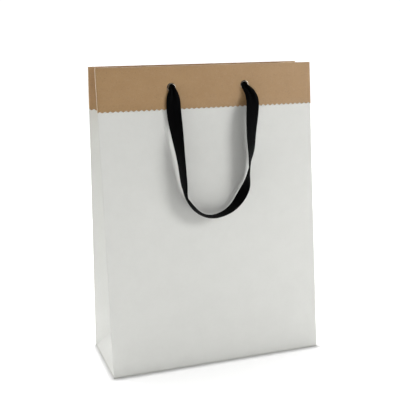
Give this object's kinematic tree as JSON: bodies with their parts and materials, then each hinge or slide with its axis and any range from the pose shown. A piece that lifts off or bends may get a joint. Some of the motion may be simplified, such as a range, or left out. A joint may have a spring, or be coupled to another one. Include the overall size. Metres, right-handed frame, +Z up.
{
  "type": "gift bag",
  "caption": "Upright paper carrier gift bag with inward-folding gussets, turned-over kraft top edge with pinked hem, eyelets and two swinging ribbon handles.",
  "frame": {"origin": "centre of the base, on the surface the bag stands on", "axes": "+X across the front to the right as seen from in front, the front faces -Y, +Z up"},
  "size_m": [0.24, 0.0988, 0.3232],
  "materials": {
    "white_paper": "smooth matte white outside, natural brown inside",
    "kraft_face": "natural brown kraft, uncoated, turned outwards, pinked lower edge",
    "grey_card": "plain grey-brown board",
    "eyelet_metal": "bright nickel plate on thin pressed metal",
    "ribbon": "black woven ribbon with a soft sheen"
  },
  "bodies": {
    "base": {"base_outer_flap": "white_paper", "base_inner_flap": "white_paper", "left_base_tuck": "white_paper", "right_base_tuck": "white_paper", "base_board": "grey_card"},
    "left_foot": {"left_gusset_foot": "white_paper"},
    "right_foot": {"right_gusset_foot": "white_paper"},
    "front_wall": {"front_panel": "white_paper", "front_cuff": "kraft_face", "front_top_board": "grey_card", "front_left_eyelet": "eyelet_metal", "front_left_knot": "ribbon", "front_right_eyelet": "eyelet_metal", "front_right_knot": "ribbon"},
    "back_wall": {"back_panel": "white_paper", "back_cuff": "kraft_face", "back_top_board": "grey_card", "back_left_eyelet": "eyelet_metal", "back_left_knot": "ribbon", "back_right_eyelet": "eyelet_metal", "back_right_knot": "ribbon", "seam_flap": "white_paper"},
    "front_left_side": {"front_left_gusset": "white_paper", "front_left_gusset_cuff": "kraft_face"},
    "front_right_side": {"front_right_gusset": "white_paper", "front_right_gusset_cuff": "kraft_face"},
    "back_left_side": {"back_left_gusset": "white_paper", "back_left_gusset_cuff": "kraft_face"},
    "back_right_side": {"back_right_gusset": "white_paper", "back_right_gusset_cuff": "kraft_face"},
    "front_handle": {"front_handle": "ribbon"},
    "back_handle": {"back_handle": "ribbon"}
  },
  "joints": [
    {"name": "front_wall_hinge", "type": "hinge", "parent": "base", "child": "front_wall", "pos_m": [0, -0.048, 0], "axis": [1, 0, 0], "range_deg": [-2.4, 3.46]},
    {"name": "back_wall_hinge", "type": "hinge", "parent": "base", "child": "back_wall", "pos_m": [0, 0.048, 0], "axis": [-1, 0, 0], "range_deg": [-2.4, 3.46]},
    {"name": "left_foot_hinge", "type": "hinge", "parent": "base", "child": "left_foot", "pos_m": [-0.1196, 0, 0], "axis": [0, -1, 0], "range_deg": [-6.09, 8.72]},
    {"name": "right_foot_hinge", "type": "hinge", "parent": "base", "child": "right_foot", "pos_m": [0.1196, 0, 0], "axis": [0, 1, 0], "range_deg": [-6.09, 8.72]},
    {"name": "front_left_side_crease", "type": "hinge", "parent": "front_wall", "child": "front_left_side", "pos_m": [-0.12, -0.04661, -0.00013], "axis": [0, 0.0926, 0.9957], "range_deg": [-19.48, 27.97]},
    {"name": "front_right_side_crease", "type": "hinge", "parent": "front_wall", "child": "front_right_side", "pos_m": [0.12, -0.04661, -0.00013], "axis": [0, -0.0926, -0.9957], "range_deg": [-19.48, 27.97]},
    {"name": "back_left_side_crease", "type": "hinge", "parent": "back_wall", "child": "back_left_side", "pos_m": [-0.12, 0.04661, -0.00013], "axis": [0, 0.0926, -0.9957], "range_deg": [-19.48, 27.97]},
    {"name": "back_right_side_crease", "type": "hinge", "parent": "back_wall", "child": "back_right_side", "pos_m": [0.12, 0.04661, -0.00013], "axis": [0, -0.0926, 0.9957], "range_deg": [-19.48, 27.97]},
    {"name": "front_handle_swing", "type": "hinge", "parent": "front_wall", "child": "front_handle", "pos_m": [0, -0.02284, 0.30297], "axis": [-1, 0, 0], "range_deg": [0, 165]},
    {"name": "back_handle_swing", "type": "hinge", "parent": "back_wall", "child": "back_handle", "pos_m": [0, 0.02284, 0.30297], "axis": [1, 0, 0], "range_deg": [0, 165]}
  ],
  "couplings": [
    {"joint": "back_wall_hinge", "follows": "front_wall_hinge", "ratio": 1},
    {"joint": "left_foot_hinge", "follows": "front_wall_hinge", "ratio": 2.493},
    {"joint": "right_foot_hinge", "follows": "front_wall_hinge", "ratio": 2.493},
    {"joint": "front_left_side_crease", "follows": "front_wall_hinge", "ratio": 8.064},
    {"joint": "front_right_side_crease", "follows": "front_wall_hinge", "ratio": 8.064},
    {"joint": "back_left_side_crease", "follows": "front_wall_hinge", "ratio": 8.064},
    {"joint": "back_right_side_crease", "follows": "front_wall_hinge", "ratio": 8.064}
  ]
}
